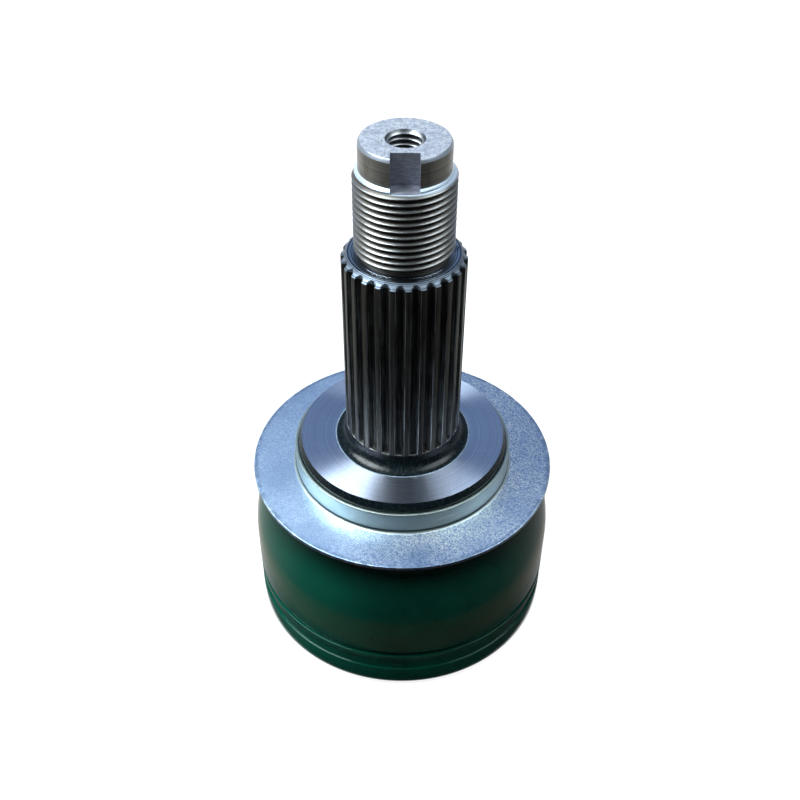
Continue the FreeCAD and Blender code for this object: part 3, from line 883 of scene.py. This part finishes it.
threadLook = {
    "root": rgb(0.085, 0.070, 0.056),
    "crest": rgb(0.34, 0.345, 0.345),
    "oil": rgb(0.24, 0.235, 0.22),
    "undercut": (rgb(0.045, 0.037, 0.026), rgb(0.12, 0.10, 0.075)),
    "chamfer": (rgb(0.34, 0.42, 0.52), rgb(0.64, 0.72, 0.82)),
    "scratch": rgb(0.7, 0.72, 0.74),
    "pitch": 0.14,
    "lineDepth": 0.004,
}
noseLook = {
    "lines": (rgb(0.17, 0.16, 0.14), rgb(0.29, 0.275, 0.25)),
    "oil": rgb(0.13, 0.12, 0.10),
    "edge": rgb(0.34, 0.37, 0.42),
    "edgeWidth": 0.8,
    "pitch": 0.11,
    "lineDepth": 0.002,
}
endLook = {
    "blotches": (rgb(0.42, 0.44, 0.52), rgb(1.0, 0.99, 1.0)),
    "speck": rgb(0.28, 0.30, 0.35),
    "line": rgb(0.50, 0.52, 0.57),
    "scratch": rgb(0.38, 0.38, 0.42),
    "pitch": 0.16,
    "depth": 0.006,
}
holeLook = {
    "thread": (rgb(0.10, 0.10, 0.11), rgb(0.50, 0.52, 0.55)),
    "oil": rgb(0.14, 0.145, 0.15),
    "slot": (rgb(0.27, 0.28, 0.33), rgb(0.42, 0.43, 0.50)),
    "strokeDepth": 0.02,
}


def makeThreadSteel():
    # worn bright crests over brown roots that are darker as oil and as painted shade, a brown undercut,
    # and a lead-in chamfer painted pale as a painted reflection
    look = threadLook
    material, tree, spot = startMaterial("threadSteel", Anisotropic=0.3, Anisotropic_Rotation=0.25)
    place = spot["Place"]
    lines = linesOn(tree, spot["Height"], look["pitch"])
    film = filmOn(tree, place, 4.0, 0.45)
    # the roots are darker than the crests, partly as oil and partly as painted shade
    crest = rangeOf(tree, spot["Radius"], thread["radius"] - 0.7, thread["radius"] - 0.02)
    colour = mixColour(tree, crest, look["root"], mixColour(tree, film, look["crest"], look["oil"]))
    below = rangeOf(tree, spot["Height"], thread["start"] + 0.2, thread["start"] - 0.2)
    colour = mixColour(tree, below, colour, mixColour(tree, lines, *look["undercut"]))
    # painted reflection: the lead-in chamfer is painted pale blue, as if lit from overhead
    above = rangeOf(tree, spot["Height"], thread["end"] + 0.1, thread["end"] + 0.3)
    colour = mixColour(tree, above, colour, mixColour(tree, lines, *look["chamfer"]))
    marks = scratchesOn(tree, place, 0.52, 0.008)
    marks = times(tree, marks, crest)
    colour = mixColour(tree, times(tree, marks, 0.3), colour, look["scratch"])
    metal = rangeOf(tree, crest, 0.0, 1.0, 0.45, 0.95)
    metal = times(tree, metal, rangeOf(tree, above, 0.0, 1.0, 1.0, 0.5))
    tree.links.new(metal, tree.nodes["Principled BSDF"].inputs["Metallic"])
    rough = math2(tree, "ADD", rangeOf(tree, lines, 0.0, 1.0, 0.40, 0.30), times(tree, film, 0.05))
    height = math2(tree, "SUBTRACT", lines, times(tree, marks, 0.6))
    return finishLook(material, colour, rough, height, look["lineDepth"], turned=True)


def makeNoseSteel():
    # dull brown-grey turned wall, with a painted highlight along its top edge
    look = noseLook
    material, tree, spot = startMaterial(
        "noseSteel", Metallic=0.85, Anisotropic=0.3, Anisotropic_Rotation=0.25
    )
    lines = linesOn(tree, spot["Height"], look["pitch"])
    colour = mixColour(tree, lines, *look["lines"])
    film = filmOn(tree, spot["Place"], 3.5, 0.4)
    colour = mixColour(tree, times(tree, film, 0.5), colour, look["oil"])
    # painted highlight: the top of the wall, over the chamfer, is painted pale
    low = raceHigh.z - look["edgeWidth"]
    colour = mixColour(tree, rangeOf(tree, spot["Height"], low - 0.05, low + 0.05), colour, look["edge"])
    rough = rangeOf(tree, lines, 0.0, 1.0, 0.46, 0.36)
    return finishLook(material, colour, rough, lines, look["lineDepth"], turned=True)


def makeEndFace():
    # mottled pale end face with scratches both ways
    look = endLook
    material, tree, spot = startMaterial("endFace", Metallic=0.8)
    place = spot["Place"]
    blotch = rangeOf(tree, noiseOf(tree, place, 0.9, 6.0, 0.75), 0.38, 0.62)
    colour = mixColour(tree, blotch, *look["blotches"])
    speck = rangeOf(tree, noiseOf(tree, place, 4.5, 3.0, 0.7), 0.55, 0.66, 0.0, 0.85)
    colour = mixColour(tree, speck, colour, look["speck"])
    lines = linesOn(tree, spot["Radius"], look["pitch"])
    colour = mixColour(tree, times(tree, lines, 0.25), colour, look["line"])
    marks = scratchesOn(tree, place, 0.56, 0.014)
    colour = mixColour(tree, times(tree, marks, 0.6), colour, look["scratch"])
    rough = rangeOf(tree, blotch, 0.0, 1.0, 0.52, 0.40)
    height = math2(tree, "ADD", times(tree, lines, 0.3), blotch)
    height = math2(tree, "SUBTRACT", height, times(tree, marks, 0.8))
    return finishLook(material, colour, rough, height, look["depth"])


def makeTappedSteel():
    material, tree, spot = startMaterial("tappedSteel", Metallic=0.9)
    film = filmOn(tree, spot["Place"], 2.0, 0.45)
    crest = rangeOf(tree, spot["Radius"], hole["radius"] + 0.5, hole["radius"] + 0.1)
    colour = mixColour(tree, crest, *holeLook["thread"])
    colour = mixColour(tree, times(tree, film, 0.5), colour, holeLook["oil"])
    return finishLook(material, colour, rangeOf(tree, film, 0.0, 1.0, 0.42, 0.34), film, 0.004)


def makeMilledSlot():
    material, tree, spot = startMaterial("milledSlot", Metallic=0.8)
    strokes = noiseOf(tree, stretched(tree, spot["Place"], (0.25, 1, 1)), 2.4, 3.0, 0.6)
    colour = mixColour(tree, rangeOf(tree, strokes, 0.35, 0.65), *holeLook["slot"])
    rough = rangeOf(tree, strokes, 0.3, 0.7, 0.5, 0.62)
    return finishLook(material, colour, rough, strokes, holeLook["strokeDepth"])


stubFinishes = [makeThreadSteel(), makeNoseSteel(), makeEndFace(), makeTappedSteel(), makeMilledSlot()]
buildThreadedEnd()
print("threaded end built")


# Dust deflector: one pressed sheet, zinc plated

deflector = {
    "columns": 256,
    "sheet": 0.9,
    "seat": 25.9,
    "footRadius": 0.9,
    "lipSoft": 0.3,
    "edgeSoft": 0.3,
}
zinc = {
    "grain": 0.2,
    "grainDepth": 0.035,
    "dark": (rgb(0.24, 0.36, 0.62), rgb(0.44, 0.58, 0.82)),
    "pale": (rgb(0.96, 1.0, 1.0), rgb(0.72, 0.86, 1.0)),
    "calm": (6.0, -22.0),
    "cloud": rgb(0.32, 0.45, 0.66),
    "handled": rgb(0.42, 0.52, 0.72),
    "collar": rgb(0.42, 0.49, 0.46),
    "rim": rgb(0.17, 0.26, 0.42),
    "paintedFootShade": rgb(0.04, 0.06, 0.07),
}


def buildDeflector():
    d = deflector
    low, top, rim = flangeLow.z, flangeHigh.z, flangeHigh.x
    sheet, bend = d["sheet"], d["footRadius"] + d["sheet"]
    inner = d["seat"] + 0.02
    outer = d["seat"] + sheet
    outline = arcSpots((inner + bend, low + bend), bend, 180, 270, 8)
    edge = [outline[-1], (rim, low, 0.12), (rim, low + sheet, d["edgeSoft"]), (outer, low + sheet)]
    outline += softenCorners(edge)[1:-1]
    outline += arcSpots((outer + d["footRadius"], low + bend), d["footRadius"], 270, 180, 8)
    lip = [outline[-1], (outer, top, d["lipSoft"]), (inner, top, d["lipSoft"]), outline[0]]
    outline += softenCorners(lip)[1:-1]
    draft = Draft()
    draft.addRings(turnedRings(outline, d["columns"]), loop=True)
    mesh = draft.toMesh("dustDeflector", 40)
    return addPiece(mesh, "dustDeflector", [zincPlate], "outer_race", ["dust_deflector"])


def makeZincPlate():
    # crystals whose painted sparkle is calmer toward the left, darker patches toward the front, a collar
    # painted duller as a painted reflection, a darker patchy band at the rim and painted shade at the
    # collar's foot
    material, tree, spot = startMaterial("zincPlate", Metallic=1.0)
    place, radius, height = spot["Place"], spot["Radius"], spot["Height"]
    grain = useGroup(tree, fineGrain, Place=place, Size=zinc["grain"])
    across, back, _ = addNode(tree, "SeparateXYZ", {0: place}).outputs
    # painted light: toward the left the crystals are painted with calmer contrast and lighter dark grains
    calm = rangeOf(tree, across, *zinc["calm"])
    dark = mixColour(tree, calm, *zinc["dark"])
    pale = mixColour(tree, calm, *zinc["pale"])
    colour = mixColour(tree, rangeOf(tree, grain["Shade"], 0.1, 0.9), dark, pale)
    cloud = noiseOf(tree, place, 0.07, 3.0, 0.6)
    colour = mixColour(tree, rangeOf(tree, cloud, 0.4, 0.65, 0.0, 0.45), colour, zinc["cloud"])
    # darker in patches toward the front of the flange
    handled = rangeOf(tree, back, -27.0, -35.0)
    handled = times(tree, handled, rangeOf(tree, cloud, 0.3, 0.6, 0.3, 0.65))
    colour = mixColour(tree, handled, colour, zinc["handled"], "MULTIPLY")
    # painted reflection: the collar is painted a duller grey-green than the flange
    onCollar = rangeOf(tree, radius, deflector["seat"] + 1.7, deflector["seat"] + 1.2)
    colour = mixColour(tree, onCollar, colour, zinc["collar"])
    patchy = rangeOf(tree, noiseOf(tree, place, 0.45, 3.0, 0.6), 0.35, 0.6)
    rim = rangeOf(tree, radius, flangeHigh.x - 1.5, flangeHigh.x - 0.5, 0.0, 0.6)
    colour = mixColour(tree, times(tree, rim, patchy), colour, zinc["rim"])
    # painted shade: a thin dark line in the crease where the collar meets the flange
    base = flangeLow.z
    foot = bandOf(tree, height, (base + 1.25, base + 1.4), (base + 1.75, base + 1.9))
    colour = mixColour(tree, times(tree, foot, onCollar, 0.85), colour, zinc["paintedFootShade"])
    rough = rangeOf(tree, grain["Height"], 0.3, 1.0, 0.30, 0.46)
    return finishLook(material, colour, rough, grain["Height"], zinc["grainDepth"])


zincPlate = makeZincPlate()
buildDeflector()
print("deflector built")


# Pieces inside the bell keep their frame shapes and get their finishes

def makeHardenedSteel(name, dark, light, roughness, patch):
    material, tree, spot = startMaterial(name, Metallic=1.0)
    cloud = noiseOf(tree, spot["Place"], 1 / patch, 4.0, 0.6)
    colour = mixColour(tree, rangeOf(tree, cloud, 0.35, 0.65), dark, light)
    marks = scratchesOn(tree, spot["Place"], 0.5, 0.006)
    colour = mixColour(tree, times(tree, marks, 0.12), colour, rgb(0.6, 0.6, 0.6))
    rough = rangeOf(tree, cloud, 0.3, 0.7, roughness, roughness + 0.1)
    grain = useGroup(tree, fineGrain, Place=spot["Place"], Size=0.25)["Height"]
    return finishLook(material, colour, rough, grain, 0.002)


insideFinishes = {
    "cage": makeHardenedSteel("phosphatedCage", rgb(0.05, 0.05, 0.05), rgb(0.11, 0.11, 0.11), 0.38, 3.0),
    "inner_race": makeHardenedSteel("groundRace", rgb(0.26, 0.26, 0.27), rgb(0.42, 0.42, 0.43), 0.22, 5.0),
    "retaining_circlip": makeHardenedSteel(
        "springWire", rgb(0.10, 0.09, 0.08), rgb(0.18, 0.17, 0.15), 0.3, 1.5
    ),
}
ballFinish = makeHardenedSteel("polishedBall", rgb(0.60, 0.61, 0.63), rgb(0.68, 0.69, 0.70), 0.06, 6.0)
for nodeName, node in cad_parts.items():
    finish = ballFinish if nodeName.startswith("ball_") else insideFinishes.get(nodeName)
    if finish:
        for slotOfNode in node.material_slots:
            slotOfNode.material = finish


# Floor, light and camera

studio = {
    "floorRadius": 3.0,
    "floorColour": rgb(0.25, 0.25, 0.25),
    "floorGlow": 0.86,
    "lampDistance": 0.62,
    "lampSize": 0.40,
    "lampElevation": 54.0,
    "lampTarget": (0.0, 0.0, 0.06),
    "lamps": ((188.0, 6.8), (-8.0, 2.0)),
    "lampColour": (0.86, 0.96, 1.0),
    "overheadPlace": (0.0, -0.10, 0.75),
    "overheadSize": 0.5,
    "overheadPower": 3.0,
    "domeRadius": 2.6,
    "frontShade": 0.05,
    "sideTilt": 0.15,
    "windowPlace": (0.0, 0.64, 0.77),
    "windowColour": rgb(0.26, 0.385, 0.60),
}
# colours of the dome round the studio, by the sine of their elevation
domeColours = (
    (0.0, rgb(0.80, 0.84, 0.90)),
    (0.30, rgb(0.20, 0.25, 0.34)),
    (0.60, rgb(0.05, 0.07, 0.10)),
    (0.85, rgb(0.03, 0.04, 0.06)),
)
# a flag that lies on the floor in front and that only the object's shine shows, as painted reflections:
# dark in front as painted shade, paler to the sides, with a warm ring near the bell as a painted
# reflection of a lit floor
flag = {
    "inner": 39.0,
    "outer": 2400.0,
    "halfAngle": 135.0,
    "ring": (45.5, 60.0),
    "ringColour": rgb(0.11, 0.060, 0.022),
    "rightShare": 0.62,
    "shades": ((0.0, 0.01), (0.2, 0.03), (0.33, 0.09), (0.48, 0.42), (0.75, 0.86)),
}
view = {
    "place": (-0.67, -189.55, 226.03),
    "pitch": 40.764,
    "roll": 0.437,
    "lens": 46.32,
    "sensor": 36.0,
}


def stageMaterial(name):
    material = bpy.data.materials.new(name)
    material.use_nodes = True
    material.node_tree.nodes.clear()
    return material, material.node_tree


def fillRamp(tree, factor, stops):
    ramp = addNode(tree, "ValToRGB", {"Fac": factor})
    while len(ramp.color_ramp.elements) < len(stops):
        ramp.color_ramp.elements.new(0.5)
    for element, (position, colour) in zip(ramp.color_ramp.elements, stops):
        element.position = position
        element.color = colour
    return ramp.outputs[0]


def addStagePiece(draft, name, material):
    mesh = bpy.data.meshes.new(name)
    mesh.from_pydata((np.concatenate(draft.points) * mm).tolist(), [], draft.faces)
    mesh.materials.append(material)
    piece = addObject(name, mesh)
    piece.visible_camera = False
    piece.visible_shadow = False
    return piece


def buildFloor():
    mesh = bpy.data.meshes.new("studioFloor")
    work = bmesh.new()
    bmesh.ops.create_circle(work, cap_ends=True, radius=studio["floorRadius"], segments=96)
    bmesh.ops.translate(work, verts=work.verts, vec=(0, 0, -0.0002))
    work.to_mesh(mesh)
    work.free()
    material, tree = stageMaterial("paleFloor")
    path = addNode(tree, "LightPath").outputs
    seen = math2(tree, "MAXIMUM", path["Is Camera Ray"], path["Is Glossy Ray"])
    seen = math2(tree, "MAXIMUM", seen, path["Is Transmission Ray"])
    glow = addNode(tree, "Emission", {"Strength": times(tree, seen, studio["floorGlow"])}).outputs[0]
    matt = addNode(tree, "BsdfDiffuse", {"Color": studio["floorColour"]}).outputs[0]
    lit = addNode(tree, "AddShader", {0: matt, 1: glow}).outputs[0]
    clear = addNode(tree, "BsdfTransparent").outputs[0]
    back = addNode(tree, "NewGeometry").outputs["Backfacing"]
    both = addNode(tree, "MixShader", {0: back, 1: lit, 2: clear}).outputs[0]
    addNode(tree, "OutputMaterial", {"Surface": both})
    mesh.materials.append(material)
    addObject("studioFloor", mesh)


def buildFlag():
    angles = np.radians(np.linspace(-90 - flag["halfAngle"], -90 + flag["halfAngle"], 73))
    draft = Draft()
    low = draft.addPoints(ringAt(flag["inner"], 0.4, angles))
    high = draft.addPoints(ringAt(flag["outer"], 0.4, angles))
    for k in range(len(angles) - 1):
        draft.addFace((low + k, high + k, high + k + 1, low + k + 1))
    material, tree = stageMaterial("frontFlag")
    place = addNode(tree, "NewGeometry").outputs["Position"]
    across, back, _ = addNode(tree, "SeparateXYZ", {0: place}).outputs
    turn = math2(tree, "ARCTAN2", across, times(tree, back, -1.0))
    turn = math2(tree, "DIVIDE", math2(tree, "ABSOLUTE", turn), math.pi)
    shades = [(position, rgb(level, level * 1.02, level)) for position, level in flag["shades"]]
    colour = fillRamp(tree, turn, shades)
    radius = addNode(tree, "VectorMath", {0: place}, operation="LENGTH").outputs["Value"]
    inner, outer = flag["ring"]
    rise, fall = ((inner - 1) * mm, (inner + 1) * mm), ((outer - 1) * mm, (outer + 1.5) * mm)
    ring = bandOf(tree, radius, rise, fall)
    colour = mixColour(tree, ring, colour, flag["ringColour"], "ADD")
    lean = rangeOf(tree, across, -0.03, 0.03, 1.0, flag["rightShare"])
    glow = addNode(tree, "Emission", {"Color": colour, "Strength": lean}).outputs[0]
    addNode(tree, "OutputMaterial", {"Surface": glow})
    piece = addStagePiece(draft, "frontFlag", material)
    piece.visible_diffuse = False


def buildWorld():
    world = bpy.data.worlds.new("whiteBackground")
    bpy.context.scene.world = world
    world.use_nodes = True
    world.node_tree.nodes["Background"].inputs["Color"].default_value = rgb(1, 1, 1)


def buildDome():
    # soft light from the back and the sides, dark in front and overhead; the camera sees past it
    angles = evenAngles(48)
    draft = Draft()
    rises = np.radians(np.linspace(-1, 84, 18))
    radius = studio["domeRadius"] / mm
    _, last = draft.addRings([ringAt(radius * math.cos(a), radius * math.sin(a), angles) for a in rises])
    draft.closeAt(last, len(angles), radius)
    material, tree = stageMaterial("studioDome")
    place = addNode(tree, "NewGeometry").outputs["Position"]
    direction = addNode(tree, "VectorMath", {0: place}, operation="NORMALIZE").outputs[0]
    across, back, up = addNode(tree, "SeparateXYZ", {0: direction}).outputs
    colour = fillRamp(tree, up, domeColours)
    shade = rangeOf(tree, back, -0.55, 0.05, studio["frontShade"], 1.0)
    colour = mixColour(tree, shade, rgb(0.01, 0.012, 0.015), colour)
    towards = {0: direction, 1: studio["windowPlace"]}
    near = addNode(tree, "VectorMath", towards, operation="DOT_PRODUCT").outputs["Value"]
    colour = mixColour(tree, rangeOf(tree, near, 0.84, 0.97), colour, studio["windowColour"])
    lean = math2(tree, "SUBTRACT", 1.0, times(tree, across, studio["sideTilt"]))
    glow = addNode(tree, "Emission", {"Color": colour, "Strength": lean}).outputs[0]
    addNode(tree, "OutputMaterial", {"Surface": glow})
    addStagePiece(draft, "studioDome", material)


def addSoftbox(name, place, size, power):
    lamp = bpy.data.lights.new(name, "AREA")
    lamp.shape = "DISK"
    lamp.size = size
    lamp.energy = power
    lamp.color = studio["lampColour"]
    holder = addObject(name, lamp)
    holder.location = place
    holder.rotation_euler = (Vector(studio["lampTarget"]) - place).to_track_quat("-Z", "Y").to_euler()
    return holder


def buildLamps():
    rise = math.radians(studio["lampElevation"])
    for index, (azimuth, power) in enumerate(studio["lamps"]):
        turn = math.radians(azimuth)
        place = Vector((math.cos(rise) * math.cos(turn), math.cos(rise) * math.sin(turn), math.sin(rise)))
        place = place * studio["lampDistance"] + Vector(studio["lampTarget"])
        addSoftbox(f"softbox{index + 1}", place, studio["lampSize"], power)
    overhead = addSoftbox(
        "overhead", Vector(studio["overheadPlace"]), studio["overheadSize"], studio["overheadPower"]
    )
    overhead.visible_glossy = False


def buildCamera():
    camera = bpy.data.cameras.new("photoCamera")
    camera.lens = view["lens"]
    camera.sensor_width = view["sensor"]
    camera.clip_start = 0.01
    holder = addObject("photoCamera", camera)
    tilt = Matrix.Rotation(math.radians(90 - view["pitch"]), 4, "X")
    roll = Matrix.Rotation(math.radians(view["roll"]), 4, "Z")
    holder.matrix_world = Matrix.Translation(Vector(view["place"]) * mm) @ tilt @ roll
    bpy.context.scene.camera = holder


buildFloor()
buildFlag()
buildWorld()
buildDome()
buildLamps()
buildCamera()
bpy.context.scene.view_settings.view_transform = "Standard"
print("studio ready")

bpy.context.view_layer.update()
